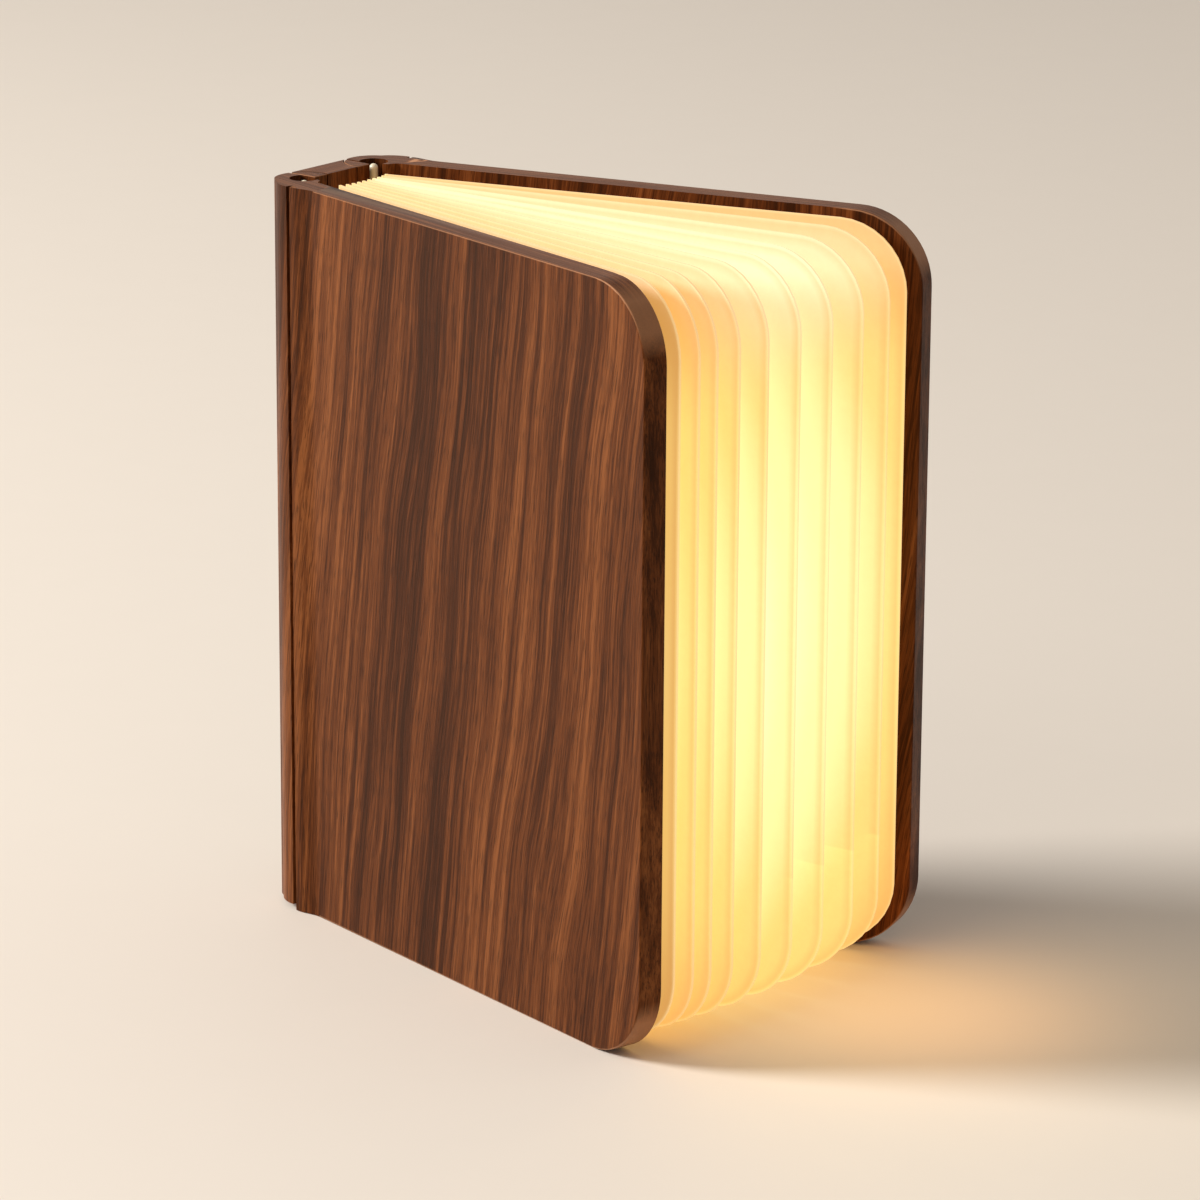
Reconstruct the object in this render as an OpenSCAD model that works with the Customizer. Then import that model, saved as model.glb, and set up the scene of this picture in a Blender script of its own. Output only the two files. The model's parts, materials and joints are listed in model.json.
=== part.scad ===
// Folding book lamp: two wooden covers hinged on a spine board, ten glowing paper pages between them.
// Origin at the middle of the spine's bottom face, +Z up, the spine's outer face towards +Y,
// the pages towards -Y. The front cover is on the -X side, the back cover on the +X side.

/* [Covers] */
// Height of the covers and of the spine
cover_h = 215; // [190:1:260]
// Distance from the hinge axis to the fore-edge
cover_reach = 169; // [150:1:200]
// Thickness of a cover board
board_t = 7.6; // [6:0.1:7.6]
// Offset of a cover's outer face from the hinge axis
face_out = 8; // [7.9:0.1:8.6]
// Radius of the rounded corners at the fore-edge
corner_r = 21.3; // [10:0.1:30]
// Turn of each cover from closed, as the lamp stands
half_open = 14.3; // [12:0.1:15]

/* [Hinges] */
// Distance between the two hinge axes
hinge_spacing = 30; // [29:0.1:34]
// Depth of a hinge axis behind the spine's outer face
hinge_depth = 8; // [7.6:0.1:8]
// Radius of the barrel that turns in the spine's hollow edge
barrel_r = 8.45; // [8.1:0.05:8.7]
// Gap between a barrel and the spine
barrel_gap = 0.3; // [0.25:0.05:0.5]
// Radius of the round socket in a cover's hook
socket_r = 4.2; // [4.2:0.1:5]
// Diameter of a hinge pin
pin_d = 2.6; // [2:0.1:3]
// Play of a bush round its pin, on the radius
pin_play = 0.05; // [0.03:0.01:0.08]
// Radius of the rounded post at a cover's hinge end
post_r = 10; // [9.8:0.1:10.2]
// Width of the groove down a cover's outer face
groove_w = 1.1; // [0.8:0.1:1.6]
// Depth of that groove
groove_d = 1.6; // [1:0.1:2.2]
// Gap at the mouth of the hook
mouth_gap = 0.7; // [0.5:0.1:1]
// How far the foot of the post stands off the table
post_lift = 1.5; // [0.5:0.1:3]
// Height of a spine knuckle
knuckle_h = 14; // [10:0.5:18]
// Height of the lowest knuckle above the table
knuckle_end = 16; // [14:0.5:20]
// Radius of the eye of a knuckle
eye_r = 3.8; // [3.4:0.1:3.8]
// Free depth of the socket above the top bush
socket_depth = 12; // [6:0.5:14]

/* [Spine] */
// Thickness of the spine board
spine_t = 9.4; // [9.2:0.1:9.8]
// Width of the spine's outer face
spine_w = 22.4; // [21:0.1:23]
// Width of the bays for the battery and the board
bay_w = 8.8; // [8:0.1:9]
// Wood left between a bay and the outer face
bay_wall = 1.6; // [1.2:0.1:1.9]

/* [Light] */
// Width of the light tray
tray_w = 11.6; // [11:0.1:11.8]
// Thickness of the light tray
tray_t = 1.2; // [0.8:0.1:1.4]
// Width of the strip with the light chips
strip_w = 7; // [5:0.1:7.6]
// Thickness of the strip with the light chips
strip_t = 0.8; // [0.6:0.1:1]
// Radius of the frosted diffuser
diffuser_r = 7.2; // [7:0.1:7.3]
// Wall of the frosted diffuser
diffuser_wall = 1.2; // [0.8:0.1:1.4]
// Number of light chips behind each diffuser
chip_count = 7; // [4:1:10]

/* [Pages] */
// Distance between neighbouring page rods
page_pitch = 2.2; // [2:0.05:2.2]
// Depth of the middle page rods behind the spine's outer face
rod_depth = 18.3; // [18.2:0.1:19]
// How far the outermost rods stand back from the middle ones
rod_arc = 1.1; // [1:0.05:1.2]
// Diameter of a page rod
rod_d = 1; // [0.8:0.1:1]
// Play of a page rod in a comb, on the radius
rod_play = 0.05; // [0.03:0.01:0.08]
// Distance from a page rod to the page's fore-edge
page_reach = 158; // [140:0.5:159]
// Thickness of a page at its rod
page_t = 0.6; // [0.5:0.05:0.6]
// Thickness of a page at its fore-edge
page_edge_t = 0.5; // [0.4:0.05:0.5]
// Gap between a page and the covers' top and bottom edges
page_inset = 1.7; // [1.5:0.1:4]
// Radius of a page's fore-edge corners
page_corner_r = 20; // [8:0.5:30]
// Thickness of a page comb
comb_t = 3; // [2:0.1:4]

/* [Fittings] */
// Diameter of the small wood screws
screw_d = 1.8; // [1.4:0.1:2]
// Diameter of the catch magnets
magnet_d = 8; // [5:0.5:10]
// Thickness of the catch magnets
magnet_t = 2.2; // [1.5:0.1:2.6]
// Thickness of the wooden plug over a magnet
plug_t = 1; // [0.6:0.1:1.4]
// Height of the charging socket above the table
socket_z = 41; // [39:0.5:44]

/* [Hidden] */

$fn = 96;
FRONT = -1;
BACK = 1;
big = 400;
tiny = 0.01;

// The spine and the two hinge axes
outer_y = spine_t / 2;
inner_y = -spine_t / 2;
hinge_x = hinge_spacing / 2;
hinge_y = outer_y - hinge_depth;
hollow_r = barrel_r + barrel_gap;
pin_r = pin_d / 2;
pin_seat = 0.02;
pin_foot = 4;
pin_top = cover_h - 0.6;

// Plan of a cover, along from the hinge axis and out from it
post_along = 4.6;
post_out = 0.6;
face_in = face_out - board_t;
groove_along = 6.9;
bulge_start = groove_along + groove_w / 2;
bulge_end = 16.5;
bulge_out = post_out + sqrt(post_r * post_r - pow(bulge_start - post_along, 2));
block_out = -1.9;
block_end = 4.7;
slope_end = 7.8;
tip_in = 2.5;
seam_in = tip_in + mouth_gap;
curve_steps = 8;

// Heights of the three knuckles on each side, and the windows that they turn in
knuckle_gap = 0.4;
knuckle_z = [knuckle_end, cover_h / 2 - knuckle_h / 2, cover_h - knuckle_end - knuckle_h];
window_lo = [for (z = knuckle_z) z - knuckle_gap];
window_hi = [for (z = knuckle_z) z + knuckle_h + knuckle_gap];
stack_lo = concat([0], window_hi);
stack_hi = concat(window_lo, [cover_h]);
bush_top = cover_h - socket_depth;
neck_lo = inner_y - hinge_y;
neck_t = 4.4;
neck_hi = neck_lo + neck_t;
window_in = 2;
window_out = neck_hi + 0.4;
tenon_in = 11.8;
tenon_x = hinge_x - tenon_in;

// Bays in the spine, between the knuckles
bay_end = 3;
bay_y = outer_y - bay_wall;
lower_bay_lo = knuckle_z[0] + knuckle_h + bay_end;
lower_bay_hi = knuckle_z[1] - bay_end;
upper_bay_lo = knuckle_z[1] + knuckle_h + bay_end;
upper_bay_hi = knuckle_z[2] - bay_end;
cell_play = 0.2;
cell_w = bay_w - 2 * cell_play;
cell_deep = bay_y - inner_y - 2 * cell_play;

// Charging socket and control board
shell_w = 8.9;
shell_t = 3.2;
shell_wall = 0.35;
shell_deep = 7.3;
shell_play = 0.1;
tongue_w = 6.7;
tongue_t = 0.7;
board_thick = 1;
board_len = 26;
board_edge = 0.3;
board_lo = lower_bay_lo + 0.5;
board_hi = board_lo + board_len;
sensor_len = 4;
sensor_t = 1.2;

// Light tray and what it carries
tray_y = inner_y - tray_t;
strip_y = tray_y - strip_t;
chip_w = 3;
chip_t = 0.7;
tray_over = 2;
screw_head = 1;
screw_reach = 6.8;
tray_screw_reach = 4;
tray_screw_in = 1.6;
tray_lo = knuckle_z[0] - tray_over;
tray_hi = knuckle_z[2] + knuckle_h + tray_over;
comb_z = [for (z = knuckle_z) z + knuckle_h / 2 - comb_t / 2];
diffuser_y = inner_y + 2.8;
diffuser_play = 0.15;
strip_end = 0.3;

// Pages
page_total = 10;
rod_front = outer_y - rod_depth;
rod_r = rod_d / 2;
page_lo = page_inset;
page_hi = cover_h - page_inset;
comb_margin = 1.1;
comb_half = page_pitch * (page_total - 1) / 2 + comb_margin;
comb_front = rod_front - comb_margin;
comb_back = rod_front + rod_arc + comb_margin;
notch_r = 5;
notch_play = 0.5;
// Turn of each page from straight back, uneven as the paper of the real lamp hangs
PAGE_TURN = [-14.6, -13.1, -11.6, -9.4, -6.2, -2.2, 2.2, 7.1, 12.1, 15.9];

// Magnets
magnet_along = cover_reach - 13;
magnet_in = 45;
sensor_along = 14;
sensor_d = 3;
sensor_z = socket_z + 14;

walnut = "#6b4630";
brass = "#b08d57";
ivory = "#efe3c8";
paper = "#f7e3b0";

// A point in a cover's own plan: along the cover and out from the hinge axis
function plan(along, out) = [out, -along];

// A smooth step from one offset to another, as points along the cover
function ease(from, to, lo, hi) = [
    for (i = [0:curve_steps])
        let (s = i / curve_steps)
        plan(from + (to - from) * s, lo + (hi - lo) * (1 - cos(180 * s)) / 2)
];

// Puts a part drawn round the back hinge axis on either side
module at_hinge(side) {
    if (side == BACK) translate([hinge_x, hinge_y, 0]) children();
    else mirror([1, 0, 0]) translate([hinge_x, hinge_y, 0]) children();
}

// The same, turned with the cover
module on_cover(side) {
    at_hinge(side) rotate([0, 0, half_open]) children();
}

// Plan of a cover: hook and post, block, board, and the swell beside the groove
module cover_plan() {
    difference() {
        union() {
            intersection() {
                union() {
                    circle(r = barrel_r);
                    translate(plan(post_along, post_out)) circle(r = post_r);
                }
                translate([block_out, -big / 2]) square([big, big]);
            }
            polygon(concat(
                [plan(post_along, face_in), plan(post_along, face_out), plan(bulge_start, face_out)],
                ease(bulge_start, bulge_end, bulge_out, face_out),
                [plan(cover_reach, face_out), plan(cover_reach, face_in)]
            ));
        }
        // the block eases down to the board's inner face
        polygon(concat(
            [plan(block_end, block_out - post_r), plan(block_end, block_out)],
            ease(block_end, slope_end, block_out, face_in),
            [plan(cover_reach + 1, face_in), plan(cover_reach + 1, block_out - post_r)]
        ));
        circle(r = socket_r);
        // open mouth of the hook, towards the spine
        rotate(-half_open) translate([-tip_in - big, -big / 2]) square([big, big]);
        // groove down the outer face
        translate(plan(groove_along + groove_w / 2, bulge_out - groove_d)) square([post_r, groove_w]);
    }
}

// Rounds off one fore-edge corner: a corner block less a cylinder
module corner_cut(z, up) {
    translate([-post_r, -cover_reach, z])
        difference() {
            translate([0, -1, up > 0 ? -corner_r : -1]) cube([3 * post_r, corner_r + 1, corner_r + 1]);
            translate([-1, corner_r, up > 0 ? -corner_r : corner_r])
                rotate([0, 90, 0]) cylinder(r = corner_r, h = 4 * post_r);
        }
}

// A blind pocket or a disc in the inner face of a cover
module cover_disc(along, z, d, depth_from, depth_to) {
    translate([face_in + depth_from, -along, z])
        rotate([0, 90, 0]) cylinder(d = d, h = depth_to - depth_from);
}

module magnet_places(depth_from, depth_to) {
    for (z = [magnet_in, cover_h - magnet_in])
        cover_disc(magnet_along, z, magnet_d, depth_from, depth_to);
}

module sensor_place(depth_from, depth_to) {
    cover_disc(sensor_along, sensor_z, sensor_d, depth_from, depth_to);
}

module cover(side) {
    color(walnut)
    on_cover(side)
    difference() {
        linear_extrude(cover_h) cover_plan();
        corner_cut(0, -1);
        corner_cut(cover_h, 1);
        // windows for the spine's knuckles
        for (i = [0:2])
            translate([-big, -window_in, window_lo[i]])
                cube([big + window_out, big, window_hi[i] - window_lo[i]]);
        // the post's foot stands off the table
        translate([-post_r, -groove_along, -1]) cube([3 * post_r, 3 * post_r, 1 + post_lift]);
        magnet_places(-1, magnet_t + plug_t);
        if (side == FRONT) sensor_place(-1, magnet_t);
    }
}

// Wooden inserts that close the barrel beside the spine
module barrel_inserts(side) {
    color(walnut)
    at_hinge(side)
    for (i = [0:3])
        translate([0, 0, max(stack_lo[i], i == 0 ? post_lift : 0)])
            linear_extrude(stack_hi[i] - max(stack_lo[i], i == 0 ? post_lift : 0))
                intersection() {
                    circle(r = barrel_r);
                    translate([-seam_in - big, neck_lo]) square([big, big]);
                }
}

// Brass bushes, one in each stretch of the hook, glued to the hook and to the insert
module bushes(side) {
    color(brass)
    at_hinge(side)
    for (i = [0:3]) {
        lo = i == 0 ? pin_foot : stack_lo[i];
        hi = i == 3 ? bush_top : stack_hi[i];
        translate([0, 0, lo])
            linear_extrude(hi - lo)
                difference() {
                    intersection() {
                        circle(r = socket_r - pin_seat);
                        translate([-seam_in, -big / 2]) square([big, big]);
                    }
                    circle(r = pin_r + pin_play);
                }
    }
}

module magnets(side) {
    color("silver") on_cover(side) magnet_places(plug_t, plug_t + magnet_t);
}

module magnet_plugs(side) {
    color(walnut) on_cover(side) magnet_places(0, plug_t);
}

module sensor_magnet() {
    color("silver") on_cover(FRONT) sensor_place(0, magnet_t);
}

// Hinge pin with a domed top, held in the knuckles
module hinge_pin(side) {
    color(ivory)
    at_hinge(side) {
        translate([0, 0, pin_foot]) cylinder(r = pin_r, h = pin_top - pin_r - pin_foot);
        translate([0, 0, pin_top - pin_r]) sphere(r = pin_r);
    }
}

// Place of the screw that holds a knuckle's tenon
module knuckle_screw_place(i, d, from, to) {
    translate([-hinge_x + tenon_x + 1.7, from - hinge_y, knuckle_z[i] + knuckle_h / 2])
        rotate([-90, 0, 0]) cylinder(d = d, h = to - from);
}

// Brass knuckle: an eye round the pin and a tenon let into the spine
module knuckle(side, i) {
    color(brass)
    at_hinge(side)
    difference() {
        translate([0, 0, knuckle_z[i]])
            linear_extrude(knuckle_h)
                difference() {
                    union() {
                        circle(r = eye_r);
                        translate([-tenon_in, neck_lo]) square([tenon_in, neck_hi - neck_lo]);
                    }
                    circle(r = pin_r + pin_seat);
                }
        knuckle_screw_place(i, screw_d, inner_y - 1, outer_y);
        knuckle_screw_place(i, 1.6 * screw_d, inner_y - 1, inner_y + screw_head);
    }
}

module knuckle_screws() {
    color("silver")
    for (side = [FRONT, BACK])
        for (i = [0:2])
            at_hinge(side) {
                knuckle_screw_place(i, screw_d, inner_y + tiny, inner_y + screw_reach);
                knuckle_screw_place(i, 1.6 * screw_d, inner_y, inner_y + screw_head);
            }
}

// Walnut spine board with hollow edges, two bays, tenon slots and the charging opening
module spine_board() {
    color(walnut)
    difference() {
        translate([-spine_w / 2, inner_y, 0]) cube([spine_w, spine_t, cover_h]);
        for (side = [FRONT, BACK])
            at_hinge(side) {
                translate([0, 0, -1]) cylinder(r = hollow_r, h = cover_h + 2);
                for (i = [0:2]) {
                    translate([-tenon_in, neck_lo - 1, knuckle_z[i]])
                        cube([tenon_in, neck_hi - neck_lo + 1, knuckle_h]);
                    knuckle_screw_place(i, screw_d, inner_y - 1, inner_y + screw_reach);
                }
            }
        bay(lower_bay_lo, lower_bay_hi);
        bay(upper_bay_lo, upper_bay_hi);
        translate([-shell_t / 2 - shell_play, outer_y - shell_deep, socket_z - shell_w / 2 - shell_play])
            cube([shell_t + 2 * shell_play, shell_deep + 1, shell_w + 2 * shell_play]);
        tray_screw_places(screw_d, inner_y - 1, inner_y + tray_screw_reach);
    }
}

module bay(lo, hi) {
    translate([-bay_w / 2, inner_y - 1, lo]) cube([bay_w, bay_y - inner_y + 1, hi - lo]);
}

// Places of the screws that hold the tray, in the wood between bays and knuckles
module tray_screw_places(d, from, to) {
    for (z = [tray_lo + tray_screw_in, tray_hi - tray_screw_in])
        translate([0, from, z]) rotate([-90, 0, 0]) cylinder(d = d, h = to - from);
}

module light_tray() {
    color("silver")
    difference() {
        translate([-tray_w / 2, tray_y, tray_lo]) cube([tray_w, tray_t, tray_hi - tray_lo]);
        tray_screw_places(screw_d, tray_y - 1, inner_y + 1);
    }
}

module tray_screws() {
    color("silver") {
        tray_screw_places(screw_d, tray_y - tiny, inner_y + tray_screw_reach);
        tray_screw_places(1.6 * screw_d, tray_y - screw_head, tray_y);
    }
}

module led_strip() {
    color("white")
    translate([-strip_w / 2, strip_y, comb_z[0] + comb_t])
        cube([strip_w, strip_t, comb_z[2] - comb_z[0] - comb_t]);
}

// Light chips in two rows of equal steps, one row behind each diffuser
module led_chips() {
    color("gold")
    for (bay = [0, 1])
        for (i = [0:chip_count - 1]) {
            lo = comb_z[bay] + comb_t;
            step = (comb_z[bay + 1] - lo) / chip_count;
            translate([-chip_w / 2, strip_y - chip_t, lo + step * (i + 0.5) - chip_w / 2])
                cube([chip_w, chip_t, chip_w]);
        }
}

// Frosted half-round cover over one row of chips
module diffuser(bay) {
    lo = comb_z[bay] + comb_t + diffuser_play;
    hi = comb_z[bay + 1] - diffuser_play;
    color("white", 0.6)
    translate([0, 0, lo])
        linear_extrude(hi - lo)
            difference() {
                translate([0, diffuser_y]) circle(r = diffuser_r);
                translate([0, diffuser_y]) circle(r = diffuser_r - diffuser_wall);
                translate([-big / 2, tray_y]) square([big, big]);
            }
}

// Comb that the page rods turn in
module comb(i) {
    color(ivory)
    translate([0, 0, comb_z[i]])
        linear_extrude(comb_t)
            difference() {
                union() {
                    translate([-comb_half, comb_front]) square([2 * comb_half, comb_back - comb_front]);
                    translate([-tray_w / 2, comb_front]) square([tray_w, tray_y - comb_front]);
                }
                for (p = [0:page_total - 1])
                    translate([page_x(p), page_y(p)]) circle(r = rod_r + rod_play);
                if (i == 1)
                    translate([-strip_w / 2 - strip_end, strip_y - strip_end])
                        square([strip_w + 2 * strip_end, strip_t + strip_end + 1]);
            }
}

function page_x(p) = page_pitch * (p - (page_total - 1) / 2);

// The rods stand on a shallow arc, so that the outer pages clear each other when the lamp lies open
function page_y(p) = rod_front + rod_arc * pow(2 * p / (page_total - 1) - 1, 4);

// One paper page: a slim wedge with rounded fore-edge corners on a rod
module page(p) {
    color(paper)
    translate([page_x(p), page_y(p), 0])
        rotate([0, 0, PAGE_TURN[p]])
            union() {
                translate([0, 0, page_lo]) cylinder(r = rod_r, h = page_hi - page_lo);
                difference() {
                    translate([0, 0, page_lo])
                        linear_extrude(page_hi - page_lo)
                            polygon([
                                [-page_t / 2, 0], [page_t / 2, 0],
                                [page_edge_t / 2, -page_reach], [-page_edge_t / 2, -page_reach]
                            ]);
                    page_corner(page_lo, 1);
                    page_corner(page_hi, -1);
                    for (i = [0:2])
                        translate([0, 0, comb_z[i] - notch_play])
                            cylinder(r = notch_r, h = comb_t + 2 * notch_play);
                }
            }
}

// Rounds off one fore-edge corner of a page
module page_corner(z, up) {
    translate([-page_t, -page_reach, z])
        difference() {
            translate([0, -1, up > 0 ? -1 : -page_corner_r])
                cube([2 * page_t, page_corner_r + 1, page_corner_r + 1]);
            translate([-1, page_corner_r, up * page_corner_r])
                rotate([0, 90, 0]) cylinder(r = page_corner_r, h = 2 * page_t + 2);
        }
}

module control_board() {
    color("green")
    translate([shell_t / 2, inner_y + board_edge, board_lo])
        cube([board_thick, bay_y - inner_y - 2 * board_edge, board_len]);
}

module charging_socket() {
    color("silver")
    difference() {
        translate([-shell_t / 2, outer_y - shell_deep, socket_z - shell_w / 2])
            cube([shell_t, shell_deep, shell_w]);
        translate([-shell_t / 2 + shell_wall, outer_y - shell_deep + 1, socket_z - shell_w / 2 + shell_wall])
            cube([shell_t - 2 * shell_wall, shell_deep, shell_w - 2 * shell_wall]);
    }
}

module socket_tongue() {
    color("#222222")
    translate([-tongue_t / 2, outer_y - shell_deep + 1, socket_z - tongue_w / 2])
        cube([tongue_t, shell_deep - 2, tongue_w]);
}

// Magnet sensor that wakes the light when the cover opens
module hall_sensor() {
    color("#222222")
    translate([shell_t / 2 - sensor_t, inner_y + 2, sensor_z - sensor_len / 2])
        cube([sensor_t, 3, sensor_len]);
}

module battery(lo, hi) {
    color("#3a78b5")
    translate([-cell_w / 2, inner_y + cell_play, lo + cell_play])
        cube([cell_w, cell_deep, hi - lo - 2 * cell_play]);
}

spine_board();
light_tray();
led_strip();
led_chips();
diffuser(0);  // diffuser_lower
diffuser(1);  // diffuser_upper
comb(0);  // comb_low
comb(1);  // comb_mid
comb(2);  // comb_top
control_board();
charging_socket();
socket_tongue();
hall_sensor();
battery(board_hi + 1, lower_bay_hi);  // battery_lower
battery(upper_bay_lo, upper_bay_hi);  // battery_upper
knuckle(FRONT, 0);  // front_knuckle_low
knuckle(FRONT, 1);  // front_knuckle_mid
knuckle(FRONT, 2);  // front_knuckle_top
knuckle(BACK, 0);  // back_knuckle_low
knuckle(BACK, 1);  // back_knuckle_mid
knuckle(BACK, 2);  // back_knuckle_top
knuckle_screws();
tray_screws();
hinge_pin(FRONT);  // front_hinge_pin
hinge_pin(BACK);  // back_hinge_pin
cover(FRONT);  // front_cover
barrel_inserts(FRONT);  // front_barrel_inserts
bushes(FRONT);  // front_bushes
magnets(FRONT);  // front_magnets
magnet_plugs(FRONT);  // front_magnet_plugs
sensor_magnet();
cover(BACK);  // back_cover
barrel_inserts(BACK);  // back_barrel_inserts
bushes(BACK);  // back_bushes
magnets(BACK);  // back_magnets
magnet_plugs(BACK);  // back_magnet_plugs
page(0);  // page_1
page(1);  // page_2
page(2);  // page_3
page(3);  // page_4
page(4);  // page_5
page(5);  // page_6
page(6);  // page_7
page(7);  // page_8
page(8);  // page_9
page(9);  // page_10
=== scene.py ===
"""Folding book lamp: the looks of its walnut boards, brass hinges and glowing paper pages."""

import json
import math

import bmesh
import bpy
from bpy.props import FloatProperty, FloatVectorProperty, PointerProperty
from mathutils import Matrix, Vector


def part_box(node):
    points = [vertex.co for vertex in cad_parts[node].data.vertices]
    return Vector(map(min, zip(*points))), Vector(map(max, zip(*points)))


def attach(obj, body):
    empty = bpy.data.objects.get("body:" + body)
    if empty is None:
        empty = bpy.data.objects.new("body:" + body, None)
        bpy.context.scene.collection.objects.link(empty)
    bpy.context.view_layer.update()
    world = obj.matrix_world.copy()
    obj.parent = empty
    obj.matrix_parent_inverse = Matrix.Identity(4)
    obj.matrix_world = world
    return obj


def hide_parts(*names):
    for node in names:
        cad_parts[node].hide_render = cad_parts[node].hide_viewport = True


bl_info = {
    "name": "Folding Book Lamp",
    "version": (1, 0, 0),
    "blender": (4, 5, 0),
    "location": "3D View > Sidebar > Book Lamp",
    "description": "Dresses the folding book lamp with its wood, brass and paper",
    "category": "Object",
}

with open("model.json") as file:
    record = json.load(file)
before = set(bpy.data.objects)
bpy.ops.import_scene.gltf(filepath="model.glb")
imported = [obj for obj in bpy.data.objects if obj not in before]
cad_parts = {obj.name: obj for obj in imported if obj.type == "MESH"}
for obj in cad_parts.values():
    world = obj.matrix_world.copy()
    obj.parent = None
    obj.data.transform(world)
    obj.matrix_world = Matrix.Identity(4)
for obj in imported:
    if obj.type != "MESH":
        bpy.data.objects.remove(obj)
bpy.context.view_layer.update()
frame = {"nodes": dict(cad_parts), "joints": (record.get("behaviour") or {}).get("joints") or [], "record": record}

MM = 0.001
MERGE = 1e-6  # corners of a node closer than this are one corner
SHARP = 35.0  # degrees; edges sharper than this are rounded over, and shaded apart
NODES = frame["nodes"]
HINGES = {j["child"]: Vector(j["pos_m"]) for j in frame["joints"]}
BODY_OF = {
    node: body
    for body, nodes in frame["record"]["behaviour"]["bodies"].items()
    for node in nodes
}
COMBS = ("comb_low", "comb_mid", "comb_top")


def sizes():
    return bpy.context.scene.book_lamp_sizes


def finishes():
    return bpy.context.scene.book_lamp_finishes


# Nodes of a material


class Shade:
    """A material under construction, with short words for its nodes."""

    def __init__(self, name):
        self.material = bpy.data.materials.new(name)
        self.material.use_nodes = True
        self.tree = self.material.node_tree
        self.tree.nodes.clear()
        self.skin = self.add("ShaderNodeBsdfPrincipled")
        out = self.add("ShaderNodeOutputMaterial")
        self.link(self.skin.outputs["BSDF"], out.inputs["Surface"])

    def add(self, kind, **values):
        """A new node with some of its settings."""
        node = self.tree.nodes.new(kind)
        for key, value in values.items():
            setattr(node, key, value)
        return node

    def link(self, source, target):
        self.tree.links.new(source, target)

    def feed(self, socket, value):
        """Joins another node's output to a socket, or sets a plain number or colour on it."""
        if isinstance(value, bpy.types.NodeSocket):
            self.link(value, socket)
        else:
            socket.default_value = value

    def set(self, **values):
        """Sets the finish's own sockets, with _ for a space in their names."""
        for key, value in values.items():
            self.feed(self.skin.inputs[key.replace("_", " ")], value)

    def place(self, turn=0.0, scale=(1, 1, 1), at=(0, 0, 0)):
        """Object coordinates, moved to a point, turned about Z and stretched."""
        source = self.add("ShaderNodeTexCoord").outputs["Object"]
        moved = self.add("ShaderNodeMapping", vector_type="TEXTURE")
        moved.inputs["Location"].default_value = at
        moved.inputs["Rotation"].default_value = (0, 0, turn)
        self.link(source, moved.inputs["Vector"])
        return self.stretch(moved.outputs["Vector"], scale)

    def stretch(self, vector, scale):
        """Coordinates made denser along each axis."""
        mapped = self.add("ShaderNodeMapping")
        mapped.inputs["Scale"].default_value = scale
        self.link(vector, mapped.inputs["Vector"])
        return mapped.outputs["Vector"]

    def noise(self, vector, detail, rough=0.55):
        """Cloudy values about a half, with one cloud to a unit of its coordinates."""
        node = self.add("ShaderNodeTexNoise")
        self.link(vector, node.inputs["Vector"])
        node.inputs["Scale"].default_value = 1.0
        node.inputs["Detail"].default_value = detail
        node.inputs["Roughness"].default_value = rough
        return node.outputs["Fac"]

    def math(self, operation, a, b=0.0, c=0.0):
        node = self.add("ShaderNodeMath", operation=operation)
        for socket, value in zip(node.inputs, (a, b, c)):
            self.feed(socket, value)
        return node.outputs["Value"]

    def spread(self, value, low, high, to_low=0.0, to_high=1.0, smooth=False):
        """A value from one range laid out over another, and held at its ends."""
        kind = "SMOOTHSTEP" if smooth else "LINEAR"
        node = self.add("ShaderNodeMapRange", interpolation_type=kind)
        for key, amount in (
            ("Value", value),
            ("From Min", low),
            ("From Max", high),
            ("To Min", to_low),
            ("To Max", to_high),
        ):
            self.feed(node.inputs[key], amount)
        return node.outputs["Result"]

    def ramp(self, value, *stops):
        """Colours along a value, each stop its place and its colour."""
        node = self.add("ShaderNodeValToRGB")
        node.color_ramp.interpolation = "EASE"
        while len(node.color_ramp.elements) < len(stops):
            node.color_ramp.elements.new(0.5)
        for element, (place, colour) in zip(node.color_ramp.elements, stops):
            element.position = place
            element.color = (*colour[:3], 1)
        self.link(value, node.inputs["Fac"])
        return node.outputs["Color"]

    def blend(self, amount, a, b):
        """A plain number between two others."""
        node = self.add("ShaderNodeMix", data_type="FLOAT")
        for socket, value in zip(node.inputs, (amount, None, a, b)):
            if value is not None:
                self.feed(socket, value)
        return node.outputs["Result"]

    def mix(self, amount, a, b):
        """A colour between two others."""
        node = self.add("ShaderNodeMix", data_type="RGBA")
        self.feed(node.inputs["Factor"], amount)
        colours = [s for s in node.inputs if s.type == "RGBA"]
        for socket, value in zip(colours, (a, b)):
            if not isinstance(value, bpy.types.NodeSocket):
                value = (*value[:3], 1)
            self.feed(socket, value)
        return next(s for s in node.outputs if s.type == "RGBA")

    def split(self, vector):
        """The three parts of a vector."""
        node = self.add("ShaderNodeSeparateXYZ")
        self.link(vector, node.inputs["Vector"])
        return node.outputs["X"], node.outputs["Y"], node.outputs["Z"]

    def bumps(self, height, strength, distance):
        """Fine relief that catches the light."""
        node = self.add("ShaderNodeBump")
        node.inputs["Strength"].default_value = strength
        node.inputs["Distance"].default_value = distance
        self.link(height, node.inputs["Height"])
        self.set(Normal=node.outputs["Normal"])


def tint(colour, amount):
    """A colour made darker or lighter."""
    return [min(1.0, c * amount) for c in colour[:3]]


# Finishes

# How close the walnut's marks lie: per metre across, into and up a board
SLOW_WAVE = (9, 9, 5)
QUICK_WAVE = (70, 70, 16)
BANDS = (70, 40, 1.6)
LINES = (520, 300, 5)
FIBRES = (1700, 1700, 42)
PORES = (4200, 3000, 150)
END_LAYERS = (18, 1500, 18)
# From one board's place in the log to the next one's, in metres
BOARD_STEP = (0.37, 0.11, 0.53)


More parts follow.
